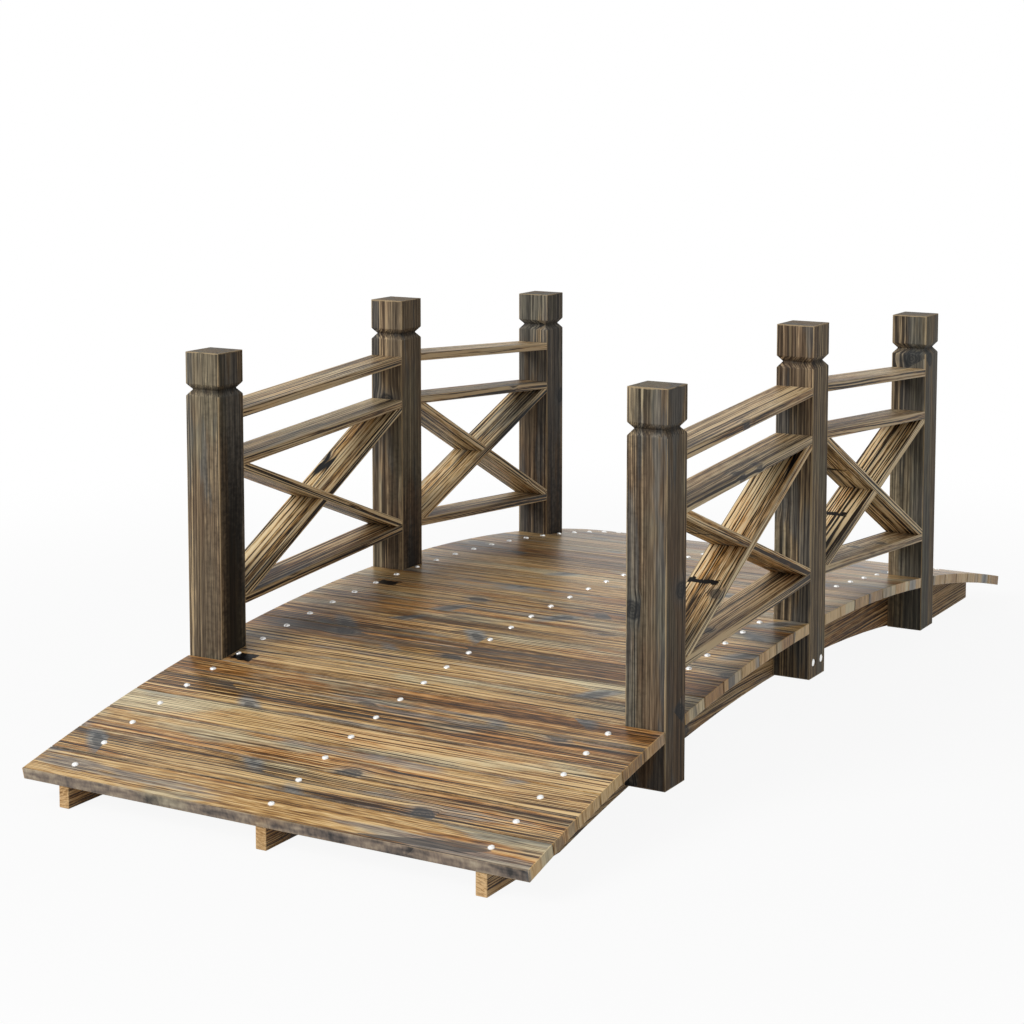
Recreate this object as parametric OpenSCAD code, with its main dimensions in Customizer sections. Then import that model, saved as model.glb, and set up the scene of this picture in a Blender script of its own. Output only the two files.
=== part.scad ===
// Arched garden footbridge. Flat boards lie across three arched stringers, six square
// posts stand against the outer stringers, and each side has two bays of sloping rails
// with crossed braces.
// X runs along the bridge, Y across it and Z up. The origin is on the ground at mid-span.
// Near is the -X end, far is the +X end, left is the +Y side and right is the -Y side.

/* [Deck] */
// Length of the deck from end to end, measured level
deck_length = 1520; // [1200:10:1900]
// Width of the deck over the ends of its long boards
deck_width = 670; // [520:10:900]
// Height of the deck surface above the ground at mid-span
crest_height = 134; // [125:1:200]
// How far the deck surface falls from mid-span to its ends
deck_rise = 94.5; // [40:0.5:105]
// Number of deck boards, odd so that one lies at mid-span
board_count = 29; // [23:2:35]
// Thickness of a deck board
board_thickness = 14; // [10:0.5:22]
// Gap between neighbouring deck boards
board_gap = 1.5; // [0.6:0.1:4]

/* [Stringers] */
// Thickness of a stringer
stringer_thickness = 14; // [10:0.5:30]
// How far the end board overhangs the end of a stringer
stringer_setback = 5.5; // [0:0.5:30]
// Length of the flat foot at each end of a stringer
foot_length = 155; // [60:5:220]
// Height of the arch cut under a stringer, at mid-span
under_arch_rise = 57; // [20:1:60]

/* [Posts] */
// Side of a square post
post_size = 51; // [40:0.5:60]
// Length of a post from its foot to its top
post_length = 458; // [380:1:700]
// Height of a post's foot above the underside of the stringer beside it
post_foot_lift = 2; // [0:0.5:20]
// Number of boards from a middle post to an outer post
bay_boards = 8; // [5:1:10]
// Gap between a post and the deck boards around it
post_clearance = 0.25; // [0.2:0.05:3]
// Height of the square block above the groove in a post
cap_height = 40.5; // [20:0.5:70]
// Height of the V groove round a post
groove_height = 15; // [6:0.5:24]
// Depth of the V groove round a post
groove_depth = 6.2; // [2:0.1:12]

/* [Railings] */
// Thickness of a rail, measured upright
rail_thickness = 11; // [8:0.5:24]
// From the line of the post tops down to the top of the top rail
top_rail_drop = 77; // [70:1:100]
// From the line of the post tops down to the top of the middle rail
middle_rail_drop = 138.5; // [120:0.5:180]
// From the deck surface up to the top of the bottom rail
bottom_rail_rise = 67; // [40:0.5:90]
// Thickness of a crossed brace
brace_thickness = 11; // [8:0.5:20]
// Gap round the halved joint where two braces cross
lap_clearance = 0.2; // [0.1:0.05:1]

/* [Hidden] */

// Signs of the two ends and the two sides
near = -1;
far = 1;
left = 1;
right = -1;
// The two braces of a bay, named by the way they run from the outer post to the middle post
rising = 1;
falling = -1;

// Deck arc: its radius and centre, and the angle that one board takes
deck_radius = (pow(deck_length / 2, 2) + pow(deck_rise, 2)) / (2 * deck_rise);
deck_centre = crest_height - deck_radius;
board_step = 2 * asin(deck_length / 2 / deck_radius) / board_count;
board_width = deck_radius * board_step * PI / 180 - board_gap;
last_board = (board_count - 1) / 2;

// Arc cut under the stringers
stringer_half = deck_length / 2 - stringer_setback;
under_half = stringer_half - foot_length;
under_radius = (pow(under_half, 2) + pow(under_arch_rise, 2)) / (2 * under_arch_rise);
under_centre = under_arch_rise - under_radius;
arc_facets = 720;

// Posts stand at the ends of short boards, with their outer faces in line with the long boards' ends
outer_face = deck_width / 2;
inner_face = outer_face - post_size;
post_pitch = (deck_radius - board_thickness / 2) * sin(bay_boards * board_step);
short_board_length = 2 * (inner_face - post_clearance);

// A cut runs this far past the faces that it opens
past = 1;

wood_deck = [0.47, 0.31, 0.18];
wood_post = [0.27, 0.23, 0.19];
wood_rail = [0.40, 0.28, 0.18];
wood_stringer = [0.43, 0.29, 0.17];

function deck_top(x) = deck_centre + sqrt(pow(deck_radius, 2) - x * x);
function underside(x) = abs(x) < under_half ? under_centre + sqrt(pow(under_radius, 2) - x * x) : 0;
function post_foot(x) = underside(x) + post_foot_lift;
function post_top(x) = post_foot(x) + post_length;

// Height of a straight line that has one height at the middle posts and another at the outer posts
function sloping(middle, outer, x) = middle + (outer - middle) * abs(x) / post_pitch;
function post_line(x) = sloping(post_top(0), post_top(post_pitch), x);
function deck_line(x) = sloping(deck_top(0), deck_top(post_pitch), x);

// Upper face of each rail
top_rail = function (x) post_line(x) - top_rail_drop;
middle_rail = function (x) post_line(x) - middle_rail_drop;
bottom_rail = function (x) deck_line(x) + bottom_rail_rise;

// Ends of a bay between the faces of its two posts, from the near side to the far side
function bay_ends(end) =
    let (inner = post_size / 2, outer = post_pitch - post_size / 2)
    end == far ? [inner, outer] : [-outer, -inner];

// Corners of the space that the braces of a bay fill: bottom near, bottom far, top far, top near
function brace_space(end) =
    let (x = bay_ends(end))
    [
        [x[0], bottom_rail(x[0])],
        [x[1], bottom_rail(x[1])],
        [x[1], middle_rail(x[1]) - rail_thickness],
        [x[0], middle_rail(x[0]) - rail_thickness],
    ];

// A flat outline in X and Z, made solid between two distances out from a post's inner face
module railing_piece(side, from = 0, to = post_size) {
    translate([0, side == left ? inner_face + to : -inner_face - from, 0])
        rotate([90, 0, 0])
            linear_extrude(height = to - from)
                children();
}

// A cylinder that lies across the bridge, for the arcs of the deck and the stringers
module cross_cylinder(radius, centre, length) {
    translate([0, 0, centre])
        rotate([90, 0, 0])
            cylinder(r = radius, h = length, center = true, $fn = arc_facets);
}

// Stringer: a board on edge, arched above to carry the deck and cut to an arch below
module stringer(y) {
    bearing_radius = deck_radius - board_thickness;
    color(wood_stringer)
        translate([0, y, 0])
            difference() {
                intersection() {
                    translate([-stringer_half, -stringer_thickness / 2, 0])
                        cube([2 * stringer_half, stringer_thickness, crest_height]);
                    cross_cylinder(bearing_radius, deck_centre, stringer_thickness + 2 * past);
                }
                cross_cylinder(under_radius, under_centre, stringer_thickness + 2 * past);
            }
}

// The outer stringers stand against the inner faces of the posts
module side_stringer(side) {
    stringer(side * (inner_face - stringer_thickness / 2));
}

// Room for a post where it passes through the deck
module post_slot(x, side) {
    grown = post_size + 2 * post_clearance;
    translate([x - grown / 2, side == left ? inner_face - post_clearance : -outer_face - past, 0])
        cube([grown, post_size + post_clearance + past, post_top(x)]);
}

function is_short_board(i) = abs(i) == bay_boards || i == 0;

// Deck board: a flat board square to the deck arc, counted from mid-span
module board(i) {
    length = is_short_board(i) ? short_board_length : deck_width;
    color(wood_deck)
        difference() {
            translate([0, 0, deck_centre])
                rotate([0, i * board_step, 0])
                    translate([-board_width / 2, -length / 2, deck_radius - board_thickness])
                        cube([board_width, length, board_thickness]);
            for (k = [-1, 0, 1], side = [left, right])
                if (abs(i - k * bay_boards) == 1)
                    post_slot(k * post_pitch, side);
        }
}

module boards(first, last) {
    for (i = [first:last])
        board(i);
}

// The V groove along one face of a post, as a prism that is cut away
module post_groove() {
    rotate([90, 0, 0])
        linear_extrude(height = post_size + 2 * past, center = true)
            polygon([
                [post_size / 2 - groove_depth, -cap_height - groove_height / 2],
                [post_size / 2, -cap_height],
                [post_size / 2 + past, -cap_height],
                [post_size / 2 + past, -cap_height - groove_height],
                [post_size / 2, -cap_height - groove_height],
            ]);
}

// Post: a square length of timber with a V groove that sets off its head
module post(k, side) {
    x = k * post_pitch;
    y = side * (outer_face - post_size / 2);
    color(wood_post)
        difference() {
            translate([x - post_size / 2, y - post_size / 2, post_foot(x)])
                cube([post_size, post_size, post_length]);
            for (turn = [0:90:270])
                translate([x, y, post_top(x)])
                    rotate([0, 0, turn])
                        post_groove();
        }
}

// Rail: a flat board as wide as the posts, cut to fit between two of them
module rail(end, side, upper_face) {
    x = bay_ends(end);
    color(wood_rail)
        railing_piece(side)
            polygon([
                [x[0], upper_face(x[0]) - rail_thickness],
                [x[1], upper_face(x[1]) - rail_thickness],
                [x[1], upper_face(x[1])],
                [x[0], upper_face(x[0])],
            ]);
}

// A bar along one diagonal of a bay, longer than the bay
module diagonal(end, way, thickness) {
    corner = brace_space(end);
    upward = (end == near) == (way == rising);
    from = upward ? corner[0] : corner[3];
    to = upward ? corner[2] : corner[1];
    reach = norm(to - from);
    translate(from)
        rotate(atan2(to.y - from.y, to.x - from.x))
            translate([-reach, -thickness / 2])
                square([3 * reach, thickness]);
}

// Brace: a board as wide as the posts, fitted corner to corner in its bay. Where the two
// cross, the rising one is cut in from its inner edge and the falling one from its outer edge.
module brace(end, side, way) {
    lap_depth = (post_size + lap_clearance) / 2;
    lap_from = way == rising ? -past : post_size - lap_depth;
    lap_to = way == rising ? lap_depth : post_size + past;
    color(wood_rail)
        difference() {
            railing_piece(side)
                intersection() {
                    polygon(brace_space(end));
                    diagonal(end, way, brace_thickness);
                }
            railing_piece(side, lap_from, lap_to)
                diagonal(end, -way, brace_thickness + 2 * lap_clearance);
        }
}

side_stringer(left);  // left_stringer
stringer(0);  // middle_stringer
side_stringer(right);  // right_stringer

boards(-last_board, -bay_boards - 1);  // near_approach_boards
board(-bay_boards);  // near_post_board
boards(-bay_boards + 1, -1);  // near_bay_boards
board(0);  // middle_post_board
boards(1, bay_boards - 1);  // far_bay_boards
board(bay_boards);  // far_post_board
boards(bay_boards + 1, last_board);  // far_approach_boards

post(near, left);  // left_near_post
post(0, left);  // left_middle_post
post(far, left);  // left_far_post
post(near, right);  // right_near_post
post(0, right);  // right_middle_post
post(far, right);  // right_far_post

rail(near, left, top_rail);  // left_near_top_rail
rail(near, left, middle_rail);  // left_near_middle_rail
rail(near, left, bottom_rail);  // left_near_bottom_rail
rail(far, left, top_rail);  // left_far_top_rail
rail(far, left, middle_rail);  // left_far_middle_rail
rail(far, left, bottom_rail);  // left_far_bottom_rail
rail(near, right, top_rail);  // right_near_top_rail
rail(near, right, middle_rail);  // right_near_middle_rail
rail(near, right, bottom_rail);  // right_near_bottom_rail
rail(far, right, top_rail);  // right_far_top_rail
rail(far, right, middle_rail);  // right_far_middle_rail
rail(far, right, bottom_rail);  // right_far_bottom_rail

brace(near, left, rising);  // left_near_rising_brace
brace(near, left, falling);  // left_near_falling_brace
brace(far, left, rising);  // left_far_rising_brace
brace(far, left, falling);  // left_far_falling_brace
brace(near, right, rising);  // right_near_rising_brace
brace(near, right, falling);  // right_near_falling_brace
brace(far, right, rising);  // right_far_rising_brace
brace(far, right, falling);  // right_far_falling_brace
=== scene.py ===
import math
import random

import bmesh
import bpy
from mathutils import Matrix, Vector


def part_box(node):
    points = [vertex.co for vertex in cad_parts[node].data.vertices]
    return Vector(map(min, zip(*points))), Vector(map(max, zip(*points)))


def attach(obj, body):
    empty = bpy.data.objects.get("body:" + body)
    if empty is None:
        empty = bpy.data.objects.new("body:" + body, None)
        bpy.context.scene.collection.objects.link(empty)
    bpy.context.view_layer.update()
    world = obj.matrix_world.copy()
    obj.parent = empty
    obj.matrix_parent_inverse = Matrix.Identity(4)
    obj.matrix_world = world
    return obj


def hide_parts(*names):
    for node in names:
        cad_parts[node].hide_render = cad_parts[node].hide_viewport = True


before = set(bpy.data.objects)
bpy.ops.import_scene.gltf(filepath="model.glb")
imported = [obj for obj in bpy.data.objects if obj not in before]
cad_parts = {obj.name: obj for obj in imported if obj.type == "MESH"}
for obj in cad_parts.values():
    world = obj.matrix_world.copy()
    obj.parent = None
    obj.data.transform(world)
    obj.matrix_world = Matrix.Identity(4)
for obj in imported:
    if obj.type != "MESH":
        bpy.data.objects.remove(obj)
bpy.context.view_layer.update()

# Stringers: three planks on edge that run the whole length of the bridge and stand on their six feet.
# Sawn from scorched and brushed fir, arched above and below, with the deck nailed onto their upper edges.
STRINGERS = ["left_stringer", "middle_stringer", "right_stringer"]
STRINGER_ARRIS = 0.0009
STRINGER_RING_TILT = (8.0, 20.0)
ARRIS_STEPS = 2
SHARP_EDGE = math.radians(20.0)
FLAT_ENOUGH = math.radians(0.05)
SQUARE_ENOUGH = 0.05
SAME_POINT = 1e-6
LENGTH_DIGITS = 5
FAR_OFF = 50.0
USUAL_AGES = (0.0, 0.3)

timber_draw = random.Random(1907)


def separate_timbers(node):
    """Each timber of a node as a mesh of its own, its triangles merged back into whole flat faces."""
    whole = bmesh.new()
    whole.from_mesh(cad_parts[node].data)
    bmesh.ops.remove_doubles(whole, verts=whole.verts, dist=SAME_POINT)
    bmesh.ops.dissolve_limit(whole, angle_limit=FLAT_ENOUGH, verts=whole.verts, edges=whole.edges)
    timbers = []
    done = set()
    for start in whole.verts:
        if start in done:
            continue
        joined = [start]
        done.add(start)
        for corner in joined:
            for edge in corner.link_edges:
                other = edge.other_vert(corner)
                if other not in done:
                    done.add(other)
                    joined.append(other)
        timber = bmesh.new()
        copies = {corner: timber.verts.new(corner.co) for corner in joined}
        for face in whole.faces:
            if face.verts[0] in copies:
                timber.faces.new([copies[corner] for corner in face.verts])
        timbers.append(timber)
    whole.free()
    return sorted(timbers, key=lambda timber: min(corner.co.x for corner in timber.verts))


def lie_of(timber):
    """How a timber lies: a matrix of its length, its width, its thickness and its middle."""
    edges = sorted(timber.edges, key=lambda edge: -round(edge.calc_length(), LENGTH_DIGITS))
    runs = [(edge.verts[1].co - edge.verts[0].co).normalized() for edge in edges]
    runs = [run if max(run, key=abs) > 0 else -run for run in runs]
    along = runs[0]
    across = next(run for run in runs if abs(run.dot(along)) < SQUARE_ENOUGH)
    through = along.cross(across).normalized()
    corners = [corner.co for corner in timber.verts]
    lie = Matrix((along, across, through)).transposed().to_4x4()
    middle = [
        (min(corner.dot(axis) for corner in corners) + max(corner.dot(axis) for corner in corners)) / 2
        for axis in (along, across, through)
    ]
    lie.translation = along * middle[0] + across * middle[1] + through * middle[2]
    return lie


def ease(timber, arris):
    """Takes the sharp corners off a sawn timber."""
    timber.normal_update()
    sharp = [edge for edge in timber.edges if edge.calc_face_angle(0.0) > SHARP_EDGE]
    bmesh.ops.bevel(
        timber, geom=sharp, offset=arris, segments=ARRIS_STEPS, profile=0.5,
        affect="EDGES", clamp_overlap=True,
    )


def lay_grain(timber, lie, tilts, fineness, depth, mark_place, age):
    """Writes each corner's place in its log and its timber and from its dark mark, with tone and age; the
    mark is char on a brace, and painted shade at a post's foot and beside it on the deck.
    """
    tilt = math.radians(timber_draw.uniform(*tilts)) * timber_draw.choice((-1, 1))
    start = [timber_draw.uniform(0, FAR_OFF) for _ in range(3)]
    log = Matrix.Translation(start) @ Matrix.Rotation(tilt, 4, "X")
    log = log @ Matrix.Diagonal((1.0, fineness, fineness * depth, 1.0))
    tone = timber_draw.random()
    inverse = lie.inverted()
    places = [inverse @ corner.co for corner in timber.verts]
    half = Vector([max(place[axis] for place in places) for axis in range(3)])
    layers = timber.verts.layers
    vectors = {name: layers.float_vector.new(name) for name in ("grain", "place", "half", "mark")}
    numbers = {name: layers.float.new(name) for name in ("tone", "age")}
    for corner, place in zip(timber.verts, places):
        corner[vectors["grain"]] = log @ place
        corner[vectors["place"]] = place
        corner[vectors["half"]] = half
        corner[vectors["mark"]] = corner.co - mark_place
        corner[numbers["tone"]] = tone
        corner[numbers["age"]] = age


def unmarked(node, lie):
    """No dark mark: it lies too far off to show."""
    return Vector((0.0, 0.0, FAR_OFF))


def any_age(node, lie):
    """Most timbers are only a little weathered."""
    return timber_draw.uniform(*USUAL_AGES)


def dress(node, arris, tilts, fineness=1.0, depth=1.0, marks=unmarked, ages=any_age, bores=None):
    """One finished piece for a node: its timbers bored, eased and given their grain."""
    piece_mesh = bpy.data.meshes.new(node + "_timber")
    gathered = bmesh.new()
    for timber in separate_timbers(node):
        lie = lie_of(timber)
        if bores:
            bores(node, timber)
        ease(timber, arris)
        lay_grain(timber, lie, tilts, fineness, depth, marks(node, lie), ages(node, lie))
        part = bpy.data.meshes.new("part")
        timber.to_mesh(part)
        timber.free()
        gathered.from_mesh(part)
        bpy.data.meshes.remove(part)
    gathered.to_mesh(piece_mesh)
    gathered.free()
    piece = bpy.data.objects.new(node + "_timber", piece_mesh)
    bpy.context.scene.collection.objects.link(piece)
    return piece


def fit(piece, node, material):
    """Gives a piece its finish and puts it in the place of its node."""
    piece.data.materials.append(material)
    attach(piece, "root")
    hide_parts(node)


def colour(red, green, blue):
    """A colour as it looks, 0 to 255, as the light that a shader works in, by the sRGB curve."""
    parts = [part / 255 for part in (red, green, blue)]
    return tuple(p / 12.92 if p <= 0.04045 else ((p + 0.055) / 1.055) ** 2.4 for p in parts) + (1.0,)


def add(tree, kind, *values, **settings):
    """One shader node: its options by name, and its inputs in order, as values or as links."""
    made = tree.nodes.new("ShaderNode" + kind)
    for option, value in settings.items():
        setattr(made, option, value)
    for socket, value in zip(made.inputs, values):
        if isinstance(value, bpy.types.NodeSocket):
            tree.links.new(value, socket)
        elif value is not None:
            socket.default_value = value
    return made


def sums(tree, operation, *values):
    """One step of arithmetic."""
    return add(tree, "Math", *values, operation=operation).outputs[0]


def noise(tree, place, per_metre, detail=2.0, rough=0.5):
    """A cloudy pattern from 0 to 1, with so many patches in a metre along, across and through."""
    scaled = add(tree, "VectorMath", place, per_metre, operation="MULTIPLY").outputs[0]
    return add(tree, "TexNoise", scaled, None, 1.0, detail, rough).outputs[0]


def between(tree, value, low, high, top=1.0):
    """From 0 at low to top at high, with a soft step, whichever of the two is the larger."""
    return add(tree, "MapRange", value, low, high, 0.0, top, interpolation_type="SMOOTHSTEP").outputs[0]


def ramp(tree, value, stops):
    """A colour for a shade, from a list of shades and their colours."""
    made = add(tree, "ValToRGB", value)
    while len(made.color_ramp.elements) < len(stops):
        made.color_ramp.elements.new(0.5)
    for element, (place, shade) in zip(made.color_ramp.elements, stops):
        element.position = place
        element.color = shade
    return made.outputs[0]


def layer(tree, share, under, over, blend="MIX"):
    """One colour laid over another by a share."""
    made = tree.nodes.new("ShaderNodeMix")
    made.data_type = "RGBA"
    made.blend_type = blend
    for socket, value in zip((made.inputs[0], made.inputs[6], made.inputs[7]), (share, under, over)):
        if isinstance(value, bpy.types.NodeSocket):
            tree.links.new(value, socket)
        else:
            socket.default_value = value
    return made.outputs[2]


# Each PATCHES value counts a pattern's patches in a metre along, across and through the log,
# and each STEP value says where a pattern starts and where it is full
END_STEP = (0.0014, 0.0003)
EDGE_STEP = (0.0012, 0.0003)


def sawn_faces(tree, sawn):
    """How deep a point lies below the timber's faces, and whether it is on a sawn end or edge."""
    place = add(tree, "Attribute", attribute_name="place").outputs["Vector"]
    half = add(tree, "Attribute", attribute_name="half").outputs["Vector"]
    from_middle = add(tree, "VectorMath", place, operation="ABSOLUTE").outputs[0]
    below = add(tree, "VectorMath", half, from_middle, operation="SUBTRACT").outputs[0]
    inset = add(tree, "SeparateXYZ", below).outputs
    on_end = between(tree, inset[0], *END_STEP)
    on_edge = between(tree, inset[1], *EDGE_STEP, top=1.0 if sawn[1] else 0.0)
    return inset, on_end, on_edge


FRAY_PATCHES = (40.0, 120.0, 80.0)
FRAY = 0.16


def scattered_knots(tree, grain, side, slant, per_metre, share):
    """Knots strewn at a slant: which cells hold one, how far off it is, and how far to its side."""
    mirrored = add(tree, "VectorMath", grain, side, operation="MULTIPLY").outputs[0]
    log = add(tree, "SeparateXYZ", mirrored).outputs
    turned = Matrix.Rotation(math.radians(slant), 2)
    cell = []
    for (from_along, from_across), density in zip(turned, per_metre):
        along = sums(tree, "MULTIPLY", log[0], from_along * density)
        cell.append(sums(tree, "MULTIPLY_ADD", log[1], from_across * density, along))
    cells = add(tree, "CombineXYZ", cell[0], cell[1], 0.0).outputs[0]
    spots = add(tree, "TexVoronoi", cells, None, 1.0, voronoi_dimensions="2D")
    chance = add(tree, "SeparateXYZ", spots.outputs["Color"]).outputs[0]
    there = sums(tree, "LESS_THAN", chance, share)
    away = add(tree, "VectorMath", cells, spots.outputs["Position"], operation="SUBTRACT").outputs[0]
    aside = add(tree, "SeparateXYZ", away).outputs[1]
    frayed = noise(tree, grain, FRAY_PATCHES, detail=3.0)
    ragged = sums(tree, "MULTIPLY_ADD", frayed, FRAY, spots.outputs["Distance"])
    return there, ragged, aside


KNOT_SLANT = 14.0
KNOT_HALO_STEP = (0.52, 0.14)
KNOT_CORE_STEP = (0.28, 0.24)
KNOT_RINGS = 17.0
KNOT_RING_RISE = 0.45
KNOT_RING_LEAST = 0.62
KNOT_BEND = -0.35
SPIKE_SLANT = 44.0
SPIKES_PER_METRE = (8.0, 24.0)
SPIKE_HALO_STEP = (0.50, 0.26)
SPIKE_CORE_STEP = (0.25, 0.19)


def knots_in(tree, grain, tone, knots):
    """Halo and core of round knots and of branches sawn lengthwise, and how the lines bend round them."""
    per_metre, round_share, spike_share = knots
    hand = sums(tree, "SIGN", sums(tree, "SUBTRACT", tone, 0.5))
    side = add(tree, "CombineXYZ", 1.0, hand, 1.0).outputs[0]
    there, ragged, aside = scattered_knots(tree, grain, side, KNOT_SLANT, per_metre, round_share)
    knot_halo = sums(tree, "MULTIPLY", there, between(tree, ragged, *KNOT_HALO_STEP))
    knot_core = sums(tree, "MULTIPLY", there, between(tree, ragged, *KNOT_CORE_STEP))
    rings = sums(tree, "FRACT", sums(tree, "MULTIPLY", ragged, KNOT_RINGS))
    rings = sums(tree, "MULTIPLY_ADD", rings, KNOT_RING_RISE, KNOT_RING_LEAST)
    knot_core = sums(tree, "MULTIPLY", knot_core, rings)
    bend = sums(tree, "MULTIPLY", sums(tree, "MULTIPLY", aside, hand), knot_halo)
    bend = sums(tree, "MULTIPLY", bend, KNOT_BEND / per_metre[1])
    there, ragged, _ = scattered_knots(tree, grain, side, SPIKE_SLANT, SPIKES_PER_METRE, spike_share)
    spike_halo = sums(tree, "MULTIPLY", there, between(tree, ragged, *SPIKE_HALO_STEP))
    spike_core = sums(tree, "MULTIPLY", there, between(tree, ragged, *SPIKE_CORE_STEP))
    return (knot_halo, knot_core), (spike_halo, spike_core), bend


SLOW_WANDER_PATCHES = (1.1, 5.0, 5.0)
QUICK_WANDER_PATCHES = (5.0, 24.0, 24.0)


def wandering_lines(tree, grain, wander, bend):
    """Places in the log, moved sideways where its lines wander or bend round a knot."""
    drift = bend
    for patches, reach in zip((SLOW_WANDER_PATCHES, QUICK_WANDER_PATCHES), wander):
        stray = sums(tree, "SUBTRACT", noise(tree, grain, patches), 0.5)
        drift = sums(tree, "MULTIPLY_ADD", stray, reach, drift)
    shift = add(tree, "CombineXYZ", 0.0, drift, 0.0).outputs[0]
    return add(tree, "VectorMath", grain, shift, operation="ADD").outputs[0]


ARCH_PATCHES = (1.3, 13.0, 6.0)
RINGS_PER_METRE = 190.0
RINGS_IN_ARCH = 15.0
RING_SHARPNESS = 4.0


def growth_rings(tree, lines):
    """Even lines where a board is cut straight, and pointed arches where it is cut flat."""
    arched = sums(tree, "MULTIPLY", noise(tree, lines, ARCH_PATCHES), RINGS_IN_ARCH)
    across = add(tree, "SeparateXYZ", lines).outputs[1]
    count = sums(tree, "MULTIPLY_ADD", across, RINGS_PER_METRE, arched)
    return sums(tree, "POWER", sums(tree, "FRACT", count), RING_SHARPNESS)


LIVELY_PATCHES = (0.9, 19.0, 8.0)
LIVELY_STEP = (0.38, 0.60)
QUIET_SHARE = 0.5
LIVELY_FINE = 0.7
LIVELY_MIDDLING = 0.8
THREAD_STEP = (0.42, 0.58)
THREAD_SHARE = 0.26
HAIR_PATCHES = (3.2, 620.0, 110.0)
HAIR_STEP = (0.44, 0.56)
HAIR_SHARE = 0.54
STREAK_SHARE = 0.6
RING_SHARE = -0.5
STREAKS_CENTRED = -0.2


def lined_shade(tree, shade, lines, line_weight, ring, streak, thread, contrast):
    """The shade with its fine and middling lines, which stand out more in lively stretches."""
    fine, middling = contrast[:2]
    lively = between(tree, noise(tree, lines, LIVELY_PATCHES), *LIVELY_STEP)
    hair = noise(tree, lines, HAIR_PATCHES, detail=1.0)
    centred = -(THREAD_SHARE + HAIR_SHARE) / 2
    fine_lines = sums(tree, "MULTIPLY_ADD", between(tree, thread, *THREAD_STEP), THREAD_SHARE, centred)
    fine_lines = sums(tree, "MULTIPLY_ADD", between(tree, hair, *HAIR_STEP), HAIR_SHARE, fine_lines)
    fine_weight = sums(tree, "MULTIPLY_ADD", lively, LIVELY_FINE * fine, QUIET_SHARE * fine)
    fine_weight = sums(tree, "MULTIPLY", fine_weight, line_weight)
    ring_lines = sums(tree, "MULTIPLY_ADD", ring, RING_SHARE, STREAKS_CENTRED)
    middling_lines = sums(tree, "MULTIPLY_ADD", streak, STREAK_SHARE, ring_lines)
    middling_weight = sums(tree, "MULTIPLY_ADD", lively, LIVELY_MIDDLING * middling, QUIET_SHARE * middling)
    shade = sums(tree, "MULTIPLY_ADD", fine_lines, fine_weight, shade)
    return sums(tree, "MULTIPLY_ADD", middling_lines, middling_weight, shade)


BAND_PATCHES = (1.9, 24.0, 10.0)
BAND_SHARE = 0.95
DASH_PATCHES = (40.0, 520.0, 600.0)
DASH_SHARE = 0.8
DASH_LOST_ON_END = -0.6
BLOTCH_PATCHES = (20.0, 110.0, 280.0)
BLOTCH_LEAST = 0.10
BLOTCH_SHARE = 0.16
MOTTLE_PATCHES = (150.0, 100.0, 320.0)
STAINED_EDGE_MOTTLE = 0.9


def banded_shade(tree, shade, grain, lines, tone, on_end, on_edge, contrast, edge_stained):
    """The shade with broad bands, short dashes, blotches, a stained edge's mottle and the timber's tone."""
    fine, _, broad, between_timbers, _ = contrast
    dashes = sums(tree, "MULTIPLY_ADD", on_end, DASH_LOST_ON_END * fine, DASH_SHARE * fine)
    mottle = sums(tree, "MULTIPLY", on_edge, STAINED_EDGE_MOTTLE if edge_stained else 0.0)
    patterns = [
        (noise(tree, lines, BAND_PATCHES), BAND_SHARE * broad),
        (noise(tree, grain, DASH_PATCHES, detail=1.0), dashes),
        (noise(tree, grain, BLOTCH_PATCHES, detail=3.0), BLOTCH_LEAST + BLOTCH_SHARE * broad),
        (noise(tree, grain, MOTTLE_PATCHES, detail=4.0, rough=0.6), mottle),
        (tone, between_timbers),
    ]
    for pattern, share in patterns:
        shade = sums(tree, "MULTIPLY_ADD", sums(tree, "SUBTRACT", pattern, 0.5), share, shade)
    return shade


SMOKE_PATCHES = (2.8, 27.0, 11.0)
SMOKE_BY_AGE = 0.14
SMOKE_KEPT_OFF = -1.2


def smoke_zone(tree, lines, age, paler, smoke):
    """Clouds of smoke, more on an old board and less where the sawn wood is pale."""
    cloud = sums(tree, "MULTIPLY_ADD", age, SMOKE_BY_AGE, noise(tree, lines, SMOKE_PATCHES, 4.0, 0.62))
    cloud = sums(tree, "MULTIPLY_ADD", paler, SMOKE_KEPT_OFF, cloud)
    return between(tree, cloud, *smoke)


LOOP_PATCHES = (1.7, 17.0, 7.0)
LOOPS_IN_PATCH = 6.0
LOOP_STEP = (0.55, 0.98)
LOOPED_PATCHES = (1.6, 9.0, 6.0)
LOOPED_STEP = (0.54, 0.66)
LOOPED_BY_AGE = 0.16


def loop_lines(tree, grain, lines, age, off_edge, loops):
    """Dark looped lines of flat-cut figure, in some places only, each soft inside and sharp outside."""
    figure = noise(tree, lines, LOOP_PATCHES, detail=1.0)
    figure = sums(tree, "FRACT", sums(tree, "MULTIPLY", figure, LOOPS_IN_PATCH))
    looped = sums(tree, "MULTIPLY_ADD", age, LOOPED_BY_AGE, noise(tree, grain, LOOPED_PATCHES))
    looped = between(tree, looped, *LOOPED_STEP, top=loops)
    looped = sums(tree, "MULTIPLY", looped, off_edge)
    looped = sums(tree, "MULTIPLY", looped, between(tree, figure, *LOOP_STEP))
    return sums(tree, "MULTIPLY", looped, sums(tree, "LESS_THAN", figure, LOOP_STEP[1]))


CRACK_PATCHES = (1.6, 70.0, 24.0)
CRACK_STEP = (0.026, 0.010)
CRACKED_PATCHES = (3.0, 22.0, 12.0)


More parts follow.
